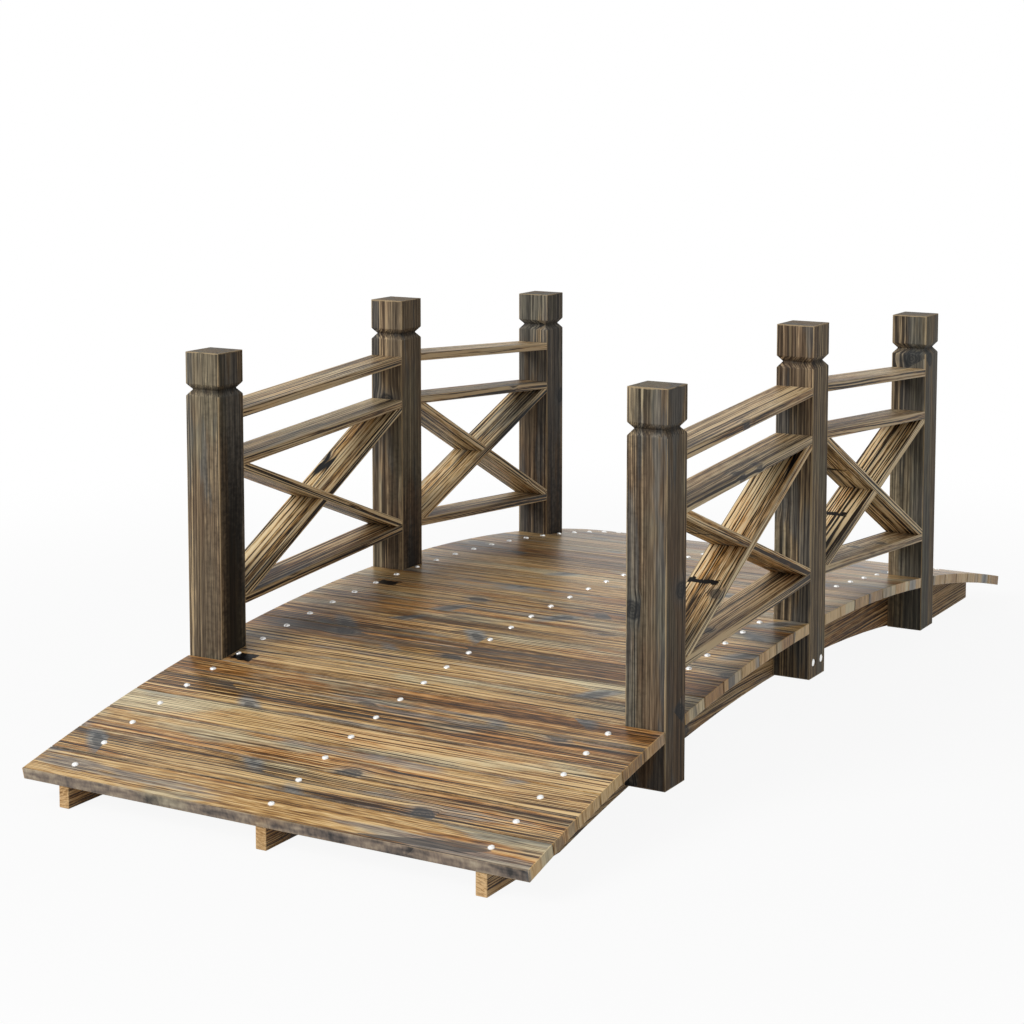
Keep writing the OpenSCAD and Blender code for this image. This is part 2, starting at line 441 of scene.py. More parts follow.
def crack_lines(tree, grain, lines, cracks):
    """Thin cracks along the grain, in some places only."""
    from_crack = sums(tree, "SUBTRACT", noise(tree, lines, CRACK_PATCHES, detail=1.0), 0.5)
    from_crack = sums(tree, "ABSOLUTE", from_crack)
    cracked = between(tree, noise(tree, grain, CRACKED_PATCHES), *cracks)
    return sums(tree, "MULTIPLY", between(tree, from_crack, *CRACK_STEP), cracked)


# The dark mark's ragged rim: char on a brace, painted shade at a post's foot and beside it on the deck
MARK_GRAIN_PATCHES = (20.0, 160.0, 90.0)
MARK_GRAIN = 0.5
MARK_SPECK_PATCHES = (180.0, 130.0, 130.0)
MARK_SPECKS = 0.9
MARK_OFF_EDGE = 18.0


def char_and_painted_shade(tree, lines, on_edge, sawn, dark_mark):
    """The timber's own dark mark, ragged along the grain and kept off a pale sawn edge: char on a brace,
    and painted shade at a post's foot and beside it on the deck.
    """
    stretch, rim, core, most = dark_mark
    mark = add(tree, "Attribute", attribute_name="mark").outputs["Vector"]
    stretched = add(tree, "VectorMath", mark, stretch, operation="MULTIPLY").outputs[0]
    stretched = add(tree, "VectorMath", stretched, operation="ABSOLUTE").outputs[0]
    sides = add(tree, "SeparateXYZ", stretched).outputs
    far = sums(tree, "MAXIMUM", sums(tree, "MAXIMUM", sides[0], sides[1]), sides[2])
    far = sums(tree, "MULTIPLY_ADD", noise(tree, lines, MARK_GRAIN_PATCHES, detail=3.0), MARK_GRAIN, far)
    far = sums(tree, "MULTIPLY_ADD", noise(tree, lines, MARK_SPECK_PATCHES), MARK_SPECKS, far)
    far = sums(tree, "MULTIPLY_ADD", on_edge, MARK_OFF_EDGE * max(0.0, sawn[1]), far)
    return between(tree, far, rim, core, most)


WORN_PATCHES = (14.0, 60.0, 60.0)
WORN_REACH = 0.004
WORN_SHORT = -0.0008


def rubbed_arris(tree, grain, inset, wear):
    """A pale uneven line along the timber's arrises, where handling has rubbed the stain off."""
    pairs = [sums(tree, "MAXIMUM", inset[a], inset[b]) for a, b in ((0, 1), (0, 2), (1, 2))]
    from_arris = sums(tree, "MINIMUM", sums(tree, "MINIMUM", pairs[0], pairs[1]), pairs[2])
    reach = noise(tree, grain, WORN_PATCHES, detail=3.0)
    reach = sums(tree, "MULTIPLY_ADD", reach, WORN_REACH, WORN_SHORT)
    return sums(tree, "MULTIPLY", sums(tree, "LESS_THAN", from_arris, reach), wear)


FIBRE_PATCHES = (40.0, 1500.0, 900.0)
FIBRE_HEIGHT = 0.25
RING_HEIGHT = 0.5
THREAD_HEIGHT = 0.6
CRACK_HEIGHT = -1.6
RELIEF_DEPTH = 0.0005
RELIEF_STRENGTH = 0.35


def brushed_relief(tree, grain, ring, thread, crack):
    """Brushing leaves the soft wood low and the hard lines proud."""
    height = sums(tree, "MULTIPLY_ADD", ring, RING_HEIGHT, sums(tree, "MULTIPLY", thread, THREAD_HEIGHT))
    height = sums(tree, "MULTIPLY_ADD", noise(tree, grain, FIBRE_PATCHES), FIBRE_HEIGHT, height)
    height = sums(tree, "MULTIPLY_ADD", crack, CRACK_HEIGHT, height)
    relief = add(tree, "Bump")
    relief.inputs["Strength"].default_value = RELIEF_STRENGTH
    relief.inputs["Distance"].default_value = RELIEF_DEPTH
    tree.links.new(height, relief.inputs["Height"])
    return relief.outputs["Normal"]


# Black for cracks, char and board joints, and for painted shade at the posts' feet and in notches and
# grooves
SOOT_AND_SHADE = colour(6, 5, 5)
MOSSY_GREY = colour(106, 104, 88)
MEAN_SHADE = 0.58
LINES_LOST_ON_END = -0.7
PALE_EDGE_LINES = 1.0
STAINED_EDGE_LINES = -0.9
STREAK_PATCHES = (1.4, 190.0, 36.0)
THREAD_PATCHES = (2.0, 400.0, 70.0)
RUSSET_PATCHES = (3.2, 19.0, 9.0)
RUSSET_STEP = (0.40, 0.54)
RUSSET_MOST = 0.6
RUSSET_BY_TONE = -0.14
RUSSET_DARKER = -0.24
RUSSET_SHADES = (1.15, 0.65)
RUSSET_ON_EDGE = 2.0
DARK_LINE_PATCHES = (1.3, 400.0, 70.0)
DARK_LINE_STEP = (0.385, 0.355)
PALE_LINE_PATCHES = (1.4, 360.0, 62.0)
PALE_LINE_STEP = (0.635, 0.665)
MOSS_PATCHES = (4.2, 16.0, 9.0)
MOSS_STEP = (0.53, 0.61)
KNOT_STAINS = (0.6, 0.8)
SPIKE_STAINS = (0.85, 0.6)
# Painted shade in notches and grooves: the sinking where it starts and where it is full, and its strength
NOTCH_STEP = (0.0012, 0.006)
NOTCH_PAINTED_SHADE = 0.6
JOINT_STEP = (0.0026, 0.0010)
JOINT_SOOT = 0.45
STREAK_ROUGHNESS = 0.2


def scorched_fir(
    name, shades, russet, slate, contrast, smoke, moss, loops,
    sawn, wander, knots, cracks, dark_mark, wear, gloss,
):
    """Scorched and brushed softwood that reads its own grain, layer over layer.

    shades and slate are the colours of the wood and of the smoke, and russet is the heartwood's hue.
    contrast says how strong the fine, middling and broad lines, the tones and the drawn lines are.
    smoke says where it starts, where it is full and how thick it is, and cracks where they start and
    are full. moss and loops say how strong they are. sawn says how much paler the ends and the edges
    are, and below 0 they are stained darker. wander is how far lines stray, slowly and quickly.
    knots is how many places for them there are in a metre along and across, and the shares that hold
    a round one or a branch. burn is the dark mark's stretch, rim, core and strength: char on a brace,
    and painted shade at a post's foot and beside it on the deck. wear is how bare the arrises are,
    and gloss is the roughness and the shine.
    """
    material = bpy.data.materials.new(name)
    material.use_nodes = True
    tree = material.node_tree
    tree.nodes.clear()
    grain = add(tree, "Attribute", attribute_name="grain").outputs["Vector"]
    tone, age = (add(tree, "Attribute", attribute_name=label).outputs["Fac"] for label in ("tone", "age"))
    broad, drawn = contrast[2], contrast[4]
    darkest = slate[0][1]
    palest = shades[-1][1]

    # A sawn end shows fewer lines, a pale sawn edge shows more and a stained one hardly any
    inset, on_end, on_edge = sawn_faces(tree, sawn)
    edge_stained = sawn[1] < 0.0
    off_end = sums(tree, "MULTIPLY_ADD", on_end, LINES_LOST_ON_END, 1.0)
    off_edge = sums(tree, "SUBTRACT", 1.0, on_edge)
    edge_lines = STAINED_EDGE_LINES if edge_stained else PALE_EDGE_LINES
    line_weight = sums(tree, "MULTIPLY_ADD", on_edge, edge_lines, off_end)
    drawn_weight = sums(tree, "MULTIPLY_ADD", on_edge, -1.0 if edge_stained else 0.0, off_end)
    paler = sums(tree, "MULTIPLY_ADD", on_end, sawn[0], sums(tree, "MULTIPLY", on_edge, sawn[1]))

    # The shade of the bare wood, from dark at 0 to pale at 1, and its russet heartwood
    knot, spike, bend = knots_in(tree, grain, tone, knots)
    lines = wandering_lines(tree, grain, wander, bend)
    ring = growth_rings(tree, lines)
    streak = noise(tree, lines, STREAK_PATCHES, detail=3.0, rough=0.6)
    thread = noise(tree, lines, THREAD_PATCHES, detail=1.0)
    shade = sums(tree, "ADD", paler, MEAN_SHADE)
    shade = lined_shade(tree, shade, lines, line_weight, ring, streak, thread, contrast)
    shade = banded_shade(tree, shade, grain, lines, tone, on_end, on_edge, contrast, edge_stained)
    heart = sums(tree, "MULTIPLY_ADD", tone, RUSSET_BY_TONE, noise(tree, lines, RUSSET_PATCHES, detail=2.5))
    heart = sums(tree, "MULTIPLY", between(tree, heart, *RUSSET_STEP, top=RUSSET_MOST), off_end)
    shade = sums(tree, "MULTIPLY_ADD", heart, RUSSET_DARKER * broad, shade)
    warm = sums(tree, "MAXIMUM", heart, sums(tree, "MULTIPLY", on_edge, RUSSET_ON_EDGE * sawn[1]))
    warm = sums(tree, "MULTIPLY", warm, between(tree, shade, *RUSSET_SHADES))
    wood = layer(tree, warm, ramp(tree, shade, shades), russet, "COLOR")
    slated = ramp(tree, shade, slate)

    # Thin dark and pale lines, slate smoke, grey-green weathering and looped figure
    dark_lines = noise(tree, lines, DARK_LINE_PATCHES, detail=1.0)
    dark_lines = between(tree, dark_lines, *DARK_LINE_STEP, top=drawn)
    pale_lines = noise(tree, lines, PALE_LINE_PATCHES, detail=1.0)
    pale_lines = between(tree, pale_lines, *PALE_LINE_STEP, top=drawn)
    wood = layer(tree, sums(tree, "MULTIPLY", dark_lines, drawn_weight), wood, darkest)
    wood = layer(tree, sums(tree, "MULTIPLY", pale_lines, drawn_weight), wood, palest)
    wood = layer(tree, smoke_zone(tree, lines, age, paler, smoke), wood, slated)
    mossy = between(tree, noise(tree, lines, MOSS_PATCHES, detail=3.0), *MOSS_STEP, top=moss)
    wood = layer(tree, mossy, wood, MOSSY_GREY, "COLOR")
    wood = layer(tree, loop_lines(tree, grain, lines, age, off_edge, loops), wood, darkest)

    # Dark knots, black cracks, char on the braces, painted shade at the posts' feet and in notches and
    # grooves, soot in board joints, and rubbed arrises
    for (halo, core), (halo_stain, core_stain) in ((spike, SPIKE_STAINS), (knot, KNOT_STAINS)):
        wood = layer(tree, sums(tree, "MULTIPLY", halo, halo_stain), wood, slated)
        wood = layer(tree, sums(tree, "MULTIPLY", core, core_stain), wood, darkest)
    crack = crack_lines(tree, grain, lines, cracks)
    wood = layer(tree, crack, wood, SOOT_AND_SHADE)
    # Char on a brace; on the posts and on the two deck boards beside them this mark is painted shade at the
    # posts' feet
    wood = layer(tree, char_and_painted_shade(tree, lines, on_edge, sawn, dark_mark), wood, SOOT_AND_SHADE)
    # Painted shade: faces sunk below both outer faces, as in notches and grooves, are darkened towards
    # black
    sunk = sums(tree, "MINIMUM", inset[1], inset[2])
    sunk = sums(tree, "MULTIPLY", sunk, sums(tree, "SUBTRACT", 1.0, on_end))
    wood = layer(tree, between(tree, sunk, *NOTCH_STEP, top=NOTCH_PAINTED_SHADE), wood, SOOT_AND_SHADE)
    joint = between(tree, inset[1], *JOINT_STEP, top=JOINT_SOOT if edge_stained else 0.0)
    wood = layer(tree, sums(tree, "MULTIPLY", joint, off_edge), wood, SOOT_AND_SHADE)
    wood = layer(tree, rubbed_arris(tree, grain, inset, wear), wood, palest)

    surface = tree.nodes.new("ShaderNodeBsdfPrincipled")
    roughness = sums(tree, "MULTIPLY_ADD", streak, STREAK_ROUGHNESS, gloss[0])
    tree.links.new(wood, surface.inputs["Base Color"])
    tree.links.new(roughness, surface.inputs["Roughness"])
    tree.links.new(brushed_relief(tree, grain, ring, thread, crack), surface.inputs["Normal"])
    surface.inputs["Specular IOR Level"].default_value = gloss[1]
    output = tree.nodes.new("ShaderNodeOutputMaterial")
    tree.links.new(surface.outputs[0], output.inputs["Surface"])
    return material


BLUE_SLATE = [
    (0.08, colour(42, 40, 40)),
    (0.48, colour(82, 83, 83)),
    (0.88, colour(134, 133, 126)),
]
# The small black patch of painted shade on the deck beside a left post's foot
SMALL_PAINTED_SHADE = ((95.0, 68.0, 40.0), 1.76, 1.62, 1.0)
stringer_wood = scorched_fir(
    "stringer_wood",
    shades=[
        (0.06, colour(48, 34, 22)),
        (0.26, colour(98, 70, 42)),
        (0.44, colour(138, 106, 68)),
        (0.62, colour(168, 134, 90)),
        (0.86, colour(208, 174, 128)),
    ],
    russet=colour(156, 108, 62),
    slate=BLUE_SLATE,
    contrast=(1.6, 0.5, 0.7, 0.12, 0.75),
    smoke=(0.62, 0.74, 0.55),
    moss=0.15,
    loops=0.3,
    sawn=(0.2, 0.0),
    wander=(0.022, 0.006),
    knots=((11.0, 18.0), 0.12, 0.02),
    cracks=(0.66, 0.78),
    dark_mark=SMALL_PAINTED_SHADE,
    wear=0.3,
    gloss=(0.50, 0.15),
)
for node in STRINGERS:
    fit(dress(node, STRINGER_ARRIS, STRINGER_RING_TILT), node, stringer_wood)

# Deck boards: planed fir boards laid across the stringers side by side, with a hairline joint between them.
# Scorched, brushed and varnished, so they shine. The three in line with the posts are shorter, and each
# fits between its pair.
LONG_BOARDS = ["near_approach_boards", "near_bay_boards", "far_bay_boards", "far_approach_boards"]
SHORT_BOARDS = ["near_post_board", "middle_post_board", "far_post_board"]
BOARD_ARRIS = 0.0006
BOARD_RING_TILT = (0.0, 4.0)
BOARD_DEPTH = 0.25
HALF_BOARD = 0.026
END_BOARD_FROM = 0.72
END_BOARD_AGE = 0.85
LONG_BOARD_AGES = (0.0, 0.55)
# Where the two boards with painted shade lie along the bridge, and how far from the middle the patch lies
SHADED_BOARDS_ALONG = (-0.430, -0.097)
SHADE_FROM_MIDDLE = 0.262


def board_age(node, lie):
    """The first and the last board weather most."""
    if abs(lie.translation.x) > END_BOARD_FROM:
        return END_BOARD_AGE
    return timber_draw.uniform(*LONG_BOARD_AGES)


def painted_shade_by_left_rail(node, lie):
    """Two boards have a black patch of painted shade near the left rail, beside the foot of a left post."""
    for dark_mark in SHADED_BOARDS_ALONG:
        if abs(lie.translation.x - dark_mark) < HALF_BOARD:
            return Vector((dark_mark, SHADE_FROM_MIDDLE, lie.translation.z))
    return unmarked(node, lie)


deck_wood = scorched_fir(
    "deck_wood",
    shades=[
        (0.10, colour(52, 38, 26)),
        (0.30, colour(103, 72, 40)),
        (0.46, colour(144, 106, 60)),
        (0.62, colour(170, 130, 77)),
        (0.78, colour(194, 156, 100)),
        (0.97, colour(222, 190, 138)),
    ],
    russet=colour(162, 106, 54),
    slate=[
        (0.08, colour(56, 58, 60)),
        (0.48, colour(105, 109, 111)),
        (0.88, colour(150, 151, 147)),
    ],
    contrast=(1.3, 0.36, 0.92, 0.36, 0.5),
    smoke=(0.60, 0.68, 0.65),
    moss=0.5,
    loops=0.75,
    sawn=(0.24, -0.14),
    wander=(0.022, 0.006),
    knots=((11.0, 19.0), 0.08, 0.09),
    cracks=(0.7, 0.82),
    dark_mark=SMALL_PAINTED_SHADE,
    wear=0.12,
    gloss=(0.24, 0.17),
)
for node in LONG_BOARDS:
    boards = dress(
        node, BOARD_ARRIS, BOARD_RING_TILT, depth=BOARD_DEPTH, marks=painted_shade_by_left_rail, ages=board_age
    )
    fit(boards, node, deck_wood)
for node in SHORT_BOARDS:
    board = dress(node, BOARD_ARRIS, BOARD_RING_TILT, depth=BOARD_DEPTH, marks=painted_shade_by_left_rail)
    fit(board, node, deck_wood)

# Posts: six square fir posts with a V groove cut into each face under the cap block.
# They stand against the outer stringers, dark and smoky, with painted shade on the inner face rising from
# the deck,
# and each middle post is counterbored near its foot for two bolts.
SIDES = ("left", "right")
POSTS = [f"{side}_{place}_post" for side in SIDES for place in ("near", "middle", "far")]
POST_ARRIS = 0.0008
POST_RING_TILT = (34.0, 56.0)
POST_FINENESS = 1.05
# Painted shade at the foot of each post's inner face: where it sits over the foot, and its stretch, rim,
# core and strength
NEAR_SHADE_OVER_FOOT = 0.12
SHADE_OVER_FOOT = -0.06
POST_PAINTED_SHADE = ((44.0, 50.0, 4.0), 2.05, 1.05, 0.85)
BOLT_SPREAD = 0.013
BOLT_OFF_MIDDLE = 0.0025
BOLT_OVER_FOOT = 0.0196
BORE_WIDTH = 0.0114
BORE_DEPTH = 0.0013
BORE_SIDES = 24

bolt_points = []
bolt_leans = []


def painted_shade_by_deck(node, lie):
    """Painted shade darkens the inner face of a post from the deck upwards."""
    low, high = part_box(node)
    inner = lie.translation.y - math.copysign((high.y - low.y) / 2, lie.translation.y)
    over_foot = NEAR_SHADE_OVER_FOOT if "near" in node else SHADE_OVER_FOOT
    return Vector((lie.translation.x, inner, low.z + over_foot))


def counterbore(node, timber):
    """Two shallow round recesses in the outer face near the foot of a middle post."""
    low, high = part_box(node)
    out = math.copysign(1.0, low.y)
    face = high.y if out > 0 else low.y
    cutters = bmesh.new()
    for side in (-BOLT_SPREAD, BOLT_SPREAD):
        seat = Vector(((low.x + high.x) / 2 + BOLT_OFF_MIDDLE + side, face, low.z + BOLT_OVER_FOOT))
        turn = Matrix.Translation(seat) @ Matrix.Rotation(math.radians(90.0), 4, "X")
        bmesh.ops.create_cone(
            cutters, cap_ends=True, segments=BORE_SIDES, radius1=BORE_WIDTH / 2, radius2=BORE_WIDTH / 2,
            depth=BORE_DEPTH * 2, matrix=turn,
        )
        bolt_points.append(seat - Vector((0.0, out * BORE_DEPTH, 0.0)))
        bolt_leans.append(Vector((0.0, out, 0.0)))
    blank_mesh = bpy.data.meshes.new("blank")
    cutter_mesh = bpy.data.meshes.new("cutter")
    timber.to_mesh(blank_mesh)
    cutters.to_mesh(cutter_mesh)
    cutters.free()
    blank = bpy.data.objects.new("blank", blank_mesh)
    cutter = bpy.data.objects.new("cutter", cutter_mesh)
    for made in (blank, cutter):
        bpy.context.scene.collection.objects.link(made)
    cut = blank.modifiers.new("cut", "BOOLEAN")
    cut.operation = "DIFFERENCE"
    cut.object = cutter
    bored = bpy.data.meshes.new_from_object(blank.evaluated_get(bpy.context.evaluated_depsgraph_get()))
    timber.clear()
    timber.from_mesh(bored)
    # Removing a mesh takes the object that shows it away too
    for made in (blank_mesh, cutter_mesh, bored):
        bpy.data.meshes.remove(made)


post_wood = scorched_fir(
    "post_wood",
    shades=[
        (0.06, colour(38, 32, 26)),
        (0.26, colour(63, 54, 43)),
        (0.46, colour(86, 74, 60)),
        (0.64, colour(105, 92, 75)),
        (0.82, colour(131, 115, 92)),
        (0.96, colour(176, 154, 120)),
    ],
    russet=colour(106, 84, 64),
    slate=[
        (0.08, colour(36, 37, 39)),
        (0.48, colour(70, 73, 74)),
        (0.88, colour(110, 111, 107)),
    ],
    contrast=(0.76, 0.12, 0.28, 0.06, 0.3),
    smoke=(0.51, 0.58, 0.6),
    moss=0.35,
    loops=0.0,
    sawn=(0.0, 0.0),
    wander=(0.010, 0.002),
    knots=((15.0, 19.0), 0.15, 0.0),
    cracks=(0.74, 0.84),
    dark_mark=POST_PAINTED_SHADE,
    wear=0.65,
    gloss=(0.55, 0.12),
)
for node in POSTS:
    bores = counterbore if "middle" in node else None
    post = dress(node, POST_ARRIS, POST_RING_TILT, POST_FINENESS, marks=painted_shade_by_deck, bores=bores)
    fit(post, node, post_wood)

# Rails: three flat fir laths in each bay, laid on the flat and fitted between the posts.
# They slope with the arch, so their ends are cut plumb against the posts.
BAYS = ("near", "far")
ROWS = ("top", "middle", "bottom")
RAILS = [f"{side}_{bay}_{row}_rail" for side in SIDES for bay in BAYS for row in ROWS]
RAIL_ARRIS = 0.0007
RAIL_RING_TILT = (36.0, 54.0)
RAIL_FINENESS = 1.05

rail_wood = scorched_fir(
    "rail_wood",
    shades=[
        (0.06, colour(38, 29, 21)),
        (0.24, colour(84, 63, 42)),
        (0.42, colour(120, 94, 64)),
        (0.58, colour(146, 117, 81)),
        (0.76, colour(172, 143, 103)),
        (0.94, colour(208, 182, 141)),
    ],
    russet=colour(178, 126, 70),
    slate=BLUE_SLATE,
    contrast=(1.5, 0.4, 0.8, 0.18, 0.6),
    smoke=(0.57, 0.70, 0.75),
    moss=0.2,
    loops=0.4,
    sawn=(0.0, 0.18),
    wander=(0.014, 0.003),
    knots=((20.0, 28.0), 0.12, 0.0),
    cracks=(0.60, 0.74),
    dark_mark=SMALL_PAINTED_SHADE,
    wear=0.35,
    gloss=(0.40, 0.18),
)
for node in RAILS:
    fit(dress(node, RAIL_ARRIS, RAIL_RING_TILT, RAIL_FINENESS), node, rail_wood)

# Braces: two laths of the same fir crossed in each bay between the middle and the bottom rail.
# Where they cross, each is notched to half its width, so that both run through.
# The wood is rougher, cracked and charred.
RUNS = ("rising", "falling")
BRACES = [f"{side}_{bay}_{run}_brace" for side in SIDES for bay in BAYS for run in RUNS]
CHAR_ALONG = (-0.10, -0.08)
CHAR_ASIDE = (-0.012, 0.012)
BRACE_CHAR = ((150.0, 46.0, 150.0), 1.72, 1.60, 1.0)


def char_on_brace(node, lie):
    """Each brace on the right has one charred place, on the near side of the crossing."""
    if "left" in node:
        return unmarked(node, lie)
    along = timber_draw.uniform(*CHAR_ALONG)
    aside = timber_draw.uniform(*CHAR_ASIDE)
    return lie.translation + lie.col[0].to_3d() * along + lie.col[1].to_3d() * aside


brace_wood = scorched_fir(
    "brace_wood",
    shades=[
        (0.06, colour(42, 30, 19)),
        (0.22, colour(100, 73, 45)),
        (0.38, colour(152, 116, 69)),
        (0.54, colour(184, 147, 92)),
        (0.72, colour(210, 175, 119)),
        (0.92, colour(232, 207, 164)),
    ],
    russet=colour(182, 130, 72),
    slate=BLUE_SLATE,
    contrast=(2.2, 0.3, 0.45, 0.14, 1.0),
    smoke=(0.58, 0.70, 0.75),
    moss=0.2,
    loops=0.0,
    sawn=(0.0, 0.16),
    wander=(0.012, 0.003),
    knots=((20.0, 28.0), 0.12, 0.0),
    cracks=(0.46, 0.58),
    dark_mark=BRACE_CHAR,
    wear=0.35,
    gloss=(0.45, 0.15),
)
for node in BRACES:
    brace = dress(node, RAIL_ARRIS, RAIL_RING_TILT, RAIL_FINENESS, marks=char_on_brace)
    fit(brace, node, brace_wood)

# Nails and bolts: bright zinc-plated nails with domed heads, three to a board, one over each stringer.
# Driven by hand, so no two heads sit quite alike. The bolts of the middle posts lie sunk in their
# counterbores.
NAIL_HEAD = 0.0086
NAIL_RISE = 0.0024
NAIL_UNEVEN = 0.1
NAIL_SEED = 29
BOLT_HEAD = 0.0106
BOLT_RISE = 0.0012
BOLT_UNEVEN = 0.02
BOLT_SEED = 4
HEAD_SIDES = 12
HEAD_RINGS = 6
PLATING_PATCHES = (420.0, 420.0, 420.0)
PLATING_SHADES = [(0.3, colour(232, 232, 230)), (0.7, colour(250, 250, 248))]
PLATING_ROUGHNESS = 0.25
PLATING_ROUGHNESS_RISE = 0.25


def plated_steel(name):
    """Zinc plating, pale and satin, with faint cloudy wear."""
    material = bpy.data.materials.new(name)
    material.use_nodes = True
    tree = material.node_tree
    surface = tree.nodes["Principled BSDF"]
    place = add(tree, "TexCoord").outputs["Object"]
    wear = noise(tree, place, PLATING_PATCHES, detail=3.0, rough=0.6)
    roughness = sums(tree, "MULTIPLY_ADD", wear, PLATING_ROUGHNESS_RISE, PLATING_ROUGHNESS)
    tree.links.new(ramp(tree, wear, PLATING_SHADES), surface.inputs["Base Color"])
    tree.links.new(roughness, surface.inputs["Roughness"])
    surface.inputs["Metallic"].default_value = 1.0
    return material


def domed_heads(name, material):
    """A node tree that sets a domed head on every point, leaning as the point's own direction says."""
    tree = bpy.data.node_groups.new(name, "GeometryNodeTree")
    face = tree.interface
    face.new_socket("Geometry", in_out="INPUT", socket_type="NodeSocketGeometry")
    for label in ("Head Width", "Head Rise", "Unevenness"):
        face.new_socket(label, in_out="INPUT", socket_type="NodeSocketFloat")
    face.new_socket("Seed", in_out="INPUT", socket_type="NodeSocketInt")
    face.new_socket("Geometry", in_out="OUTPUT", socket_type="NodeSocketGeometry")
    make, link = tree.nodes.new, tree.links.new
    given = make("NodeGroupInput")
    ball = make("GeometryNodeMeshUVSphere")
    ball.inputs["Segments"].default_value = HEAD_SIDES
    ball.inputs["Rings"].default_value = HEAD_RINGS
    ball.inputs["Radius"].default_value = 1.0
    half = make("ShaderNodeMath")
    half.operation = "MULTIPLY"
    half.inputs[1].default_value = 0.5
    link(given.outputs["Head Width"], half.inputs[0])
    size = make("ShaderNodeCombineXYZ")
    link(half.outputs[0], size.inputs[0])
    link(half.outputs[0], size.inputs[1])
    link(given.outputs["Head Rise"], size.inputs[2])
    head = make("GeometryNodeTransform")
    link(ball.outputs["Mesh"], head.inputs["Geometry"])
    link(size.outputs[0], head.inputs["Scale"])
    lean = make("GeometryNodeInputNamedAttribute")
    lean.data_type = "FLOAT_VECTOR"
    lean.inputs["Name"].default_value = "lean"
    turn = make("FunctionNodeAlignRotationToVector")
    turn.axis = "Z"
    link(lean.outputs["Attribute"], turn.inputs["Vector"])
    least = make("ShaderNodeMath")
    least.operation = "SUBTRACT"
    least.inputs[0].default_value = 1.0
    link(given.outputs["Unevenness"], least.inputs[1])
    uneven = make("FunctionNodeRandomValue")
    uneven.data_type = "FLOAT_VECTOR"
    uneven.inputs[1].default_value = (1.0, 1.0, 1.0)
    spread = make("ShaderNodeCombineXYZ")
    for axis in range(3):
        link(least.outputs[0], spread.inputs[axis])
    link(spread.outputs[0], uneven.inputs[0])
    link(given.outputs["Seed"], uneven.inputs["Seed"])
    drive = make("GeometryNodeInstanceOnPoints")
    link(given.outputs["Geometry"], drive.inputs["Points"])
    link(head.outputs["Geometry"], drive.inputs["Instance"])
    link(turn.outputs["Rotation"], drive.inputs["Rotation"])
    link(uneven.outputs[0], drive.inputs["Scale"])
    real = make("GeometryNodeRealizeInstances")
    link(drive.outputs["Instances"], real.inputs["Geometry"])
    finish = make("GeometryNodeSetMaterial")
    finish.inputs["Material"].default_value = material
    link(real.outputs["Geometry"], finish.inputs["Geometry"])
    result = make("NodeGroupOutput")
    link(finish.outputs["Geometry"], result.inputs["Geometry"])
    return tree


def drive_heads(name, tree, points, leans, sizes):
    """Runs the tree on its points and keeps the result as one plain mesh."""
    point_mesh = bpy.data.meshes.new(name + "_points")
    point_mesh.from_pydata(points, [], [])
    lean = point_mesh.attributes.new("lean", "FLOAT_VECTOR", "POINT")
    for entry, direction in zip(lean.data, leans):
        entry.vector = direction
    maker = bpy.data.objects.new(name + "_points", point_mesh)
    bpy.context.scene.collection.objects.link(maker)
    modifier = maker.modifiers.new("heads", "NODES")
    modifier.node_group = tree
    for socket in tree.interface.items_tree:
        if socket.in_out == "INPUT" and socket.name in sizes:
            modifier[socket.identifier] = sizes[socket.name]
    evaluated = maker.evaluated_get(bpy.context.evaluated_depsgraph_get())
    made = bpy.data.meshes.new_from_object(evaluated)
    maker.modifiers.remove(modifier)
    bpy.data.objects.remove(maker)
    piece = bpy.data.objects.new(name, made)
    bpy.context.scene.collection.objects.link(piece)
    return piece


stringer_rows = []
for node in STRINGERS:
    low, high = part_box(node)
    stringer_rows.append((low.y + high.y) / 2)
nail_points = []
nail_leans = []
for node in LONG_BOARDS + SHORT_BOARDS:
    for timber in separate_timbers(node):
        lie = lie_of(timber)
        up = lie.col[2].to_3d()
        up = up if up.z > 0 else -up
        top = max(corner.co.dot(up) for corner in timber.verts) - lie.translation.dot(up)
        timber.free()
        for row in stringer_rows:
            nail_points.append(lie.translation + Vector((0, row, 0)) + up * top)
            nail_leans.append(up)
fixing_steel = plated_steel("fixing_steel")
head_tree = domed_heads("domed_heads", fixing_steel)
nails = drive_heads(
    "deck_nails",
    head_tree,
    nail_points,
    nail_leans,
    {"Head Width": NAIL_HEAD, "Head Rise": NAIL_RISE, "Unevenness": NAIL_UNEVEN, "Seed": NAIL_SEED},
)
bolts = drive_heads(
    "post_bolts",
    head_tree,
    bolt_points,
    bolt_leans,
    {"Head Width": BOLT_HEAD, "Head Rise": BOLT_RISE, "Unevenness": BOLT_UNEVEN, "Seed": BOLT_SEED},
)
for heads in (nails, bolts):
    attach(heads, "root")

# Floor, light and camera: a plain white studio floor, one broad soft lamp and an even pale surround.
# The camera stands off the near right corner, higher than the posts, and looks a little downwards.
FLOOR_HALF = 30.0
FLOOR_GREY = (0.62, 0.62, 0.62, 1.0)
SHADOW_STEP = (0.8, 1.9)
SHADOW_SHARE = 0.08
WHITE = (1.0, 1.0, 1.0, 1.0)
SKY_LIGHT = 0.42
CAMERA_PLACE = Vector((-2.6520, -1.4032, 0.8384))
CAMERA_HEADING = math.radians(29.874)
CAMERA_PITCH = math.radians(-6.039)
CAMERA_LENS = 78.67
CAMERA_SHIFT = -0.20
LAMP_PLACE = Vector((-7.0, 3.1, 5.5))
LAMP_AIM = Vector((0.0, 0.0, 0.2))
LAMP_WIDTH = 5.7
LAMP_POWER = 660.0


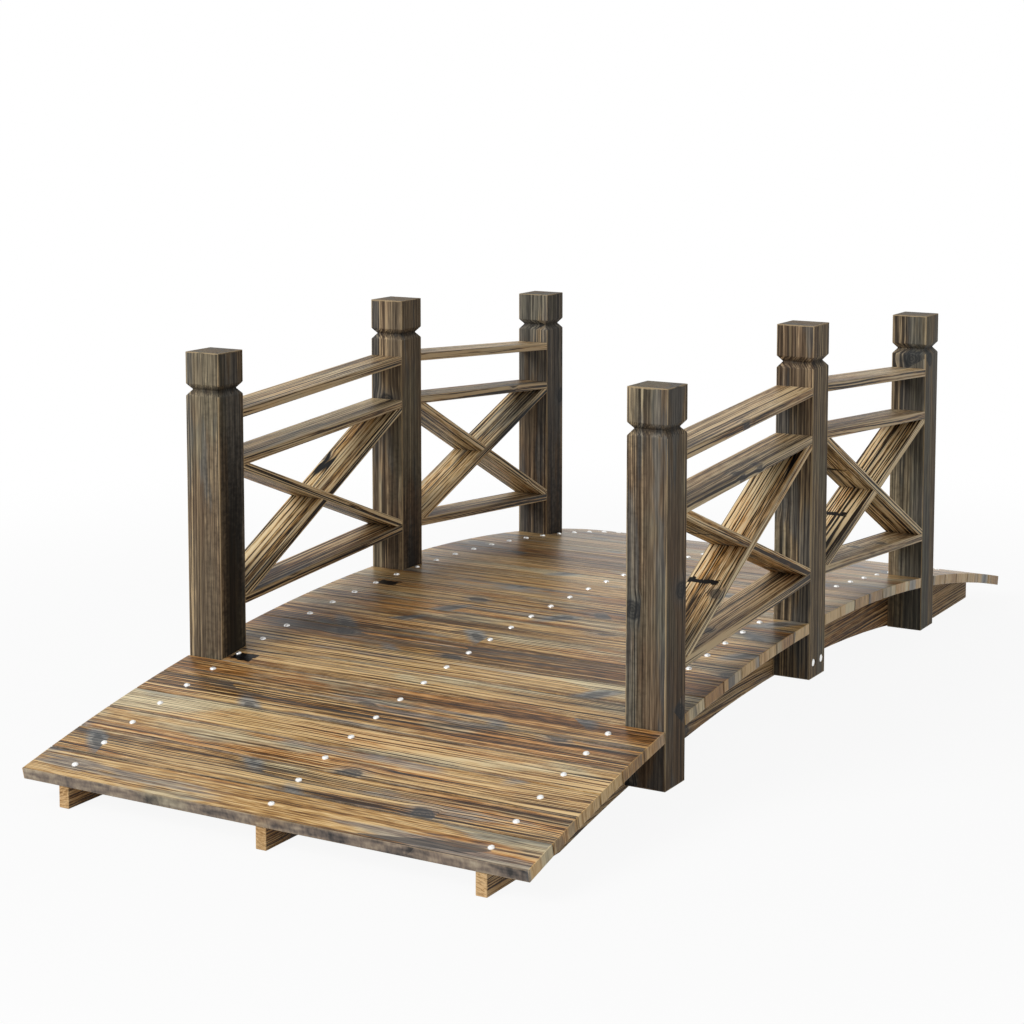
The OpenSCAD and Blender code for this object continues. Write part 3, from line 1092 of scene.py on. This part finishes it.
def studio_white(name):
    """A white floor that the camera sees as the background, and that still takes a soft shadow."""
    material = bpy.data.materials.new(name)
    material.use_nodes = True
    tree = material.node_tree
    tree.nodes.clear()
    matt = add(tree, "BsdfDiffuse", FLOOR_GREY)
    glow = add(tree, "Emission", WHITE, 1.0)
    path = add(tree, "LightPath")
    seen = sums(tree, "MAXIMUM", path.outputs["Is Camera Ray"], path.outputs["Is Glossy Ray"])
    place = add(tree, "TexCoord").outputs["Object"]
    from_middle = add(tree, "VectorMath", place, operation="LENGTH").outputs[1]
    fade = between(tree, from_middle, *SHADOW_STEP)
    white = sums(tree, "MULTIPLY_ADD", fade, SHADOW_SHARE, 1.0 - SHADOW_SHARE)
    share = sums(tree, "MULTIPLY", seen, white)
    mixed = add(tree, "MixShader", share, matt.outputs[0], glow.outputs[0])
    output = tree.nodes.new("ShaderNodeOutputMaterial")
    tree.links.new(mixed.outputs[0], output.inputs["Surface"])
    return material


floor_mesh = bpy.data.meshes.new("studio_floor")
corners = [(-FLOOR_HALF, -FLOOR_HALF, 0), (FLOOR_HALF, -FLOOR_HALF, 0)]
corners += [(FLOOR_HALF, FLOOR_HALF, 0), (-FLOOR_HALF, FLOOR_HALF, 0)]
floor_mesh.from_pydata(corners, [], [(0, 1, 2, 3)])
floor = bpy.data.objects.new("studio_floor", floor_mesh)
bpy.context.scene.collection.objects.link(floor)
floor_mesh.materials.append(studio_white("studio_white"))

lamp_data = bpy.data.lights.new("key_lamp", "AREA")
lamp_data.shape = "DISK"
lamp_data.size = LAMP_WIDTH
lamp_data.energy = LAMP_POWER
lamp = bpy.data.objects.new("key_lamp", lamp_data)
lamp.location = LAMP_PLACE
lamp.rotation_euler = (LAMP_AIM - LAMP_PLACE).to_track_quat("-Z", "Y").to_euler()
bpy.context.scene.collection.objects.link(lamp)

world = bpy.data.worlds.new("studio")
world.use_nodes = True
bpy.context.scene.world = world
sky = world.node_tree
sky.nodes.clear()
path = add(sky, "LightPath")
seen = sums(sky, "MAXIMUM", path.outputs["Is Camera Ray"], path.outputs["Is Glossy Ray"])
seen = sums(sky, "MAXIMUM", seen, path.outputs["Is Transmission Ray"])
strength = sums(sky, "MULTIPLY_ADD", seen, 1.0 - SKY_LIGHT, SKY_LIGHT)
backdrop = add(sky, "Background", WHITE, strength)
sky_output = sky.nodes.new("ShaderNodeOutputWorld")
sky.links.new(backdrop.outputs[0], sky_output.inputs["Surface"])

camera_data = bpy.data.cameras.new("camera")
camera_data.lens = CAMERA_LENS
camera_data.shift_y = CAMERA_SHIFT
camera = bpy.data.objects.new("camera", camera_data)
camera.location = CAMERA_PLACE
ahead = Vector((math.cos(CAMERA_HEADING), math.sin(CAMERA_HEADING), math.tan(CAMERA_PITCH)))
camera.rotation_euler = ahead.to_track_quat("-Z", "Y").to_euler()
bpy.context.scene.collection.objects.link(camera)
bpy.context.scene.camera = camera
bpy.context.scene.view_settings.view_transform = "Standard"
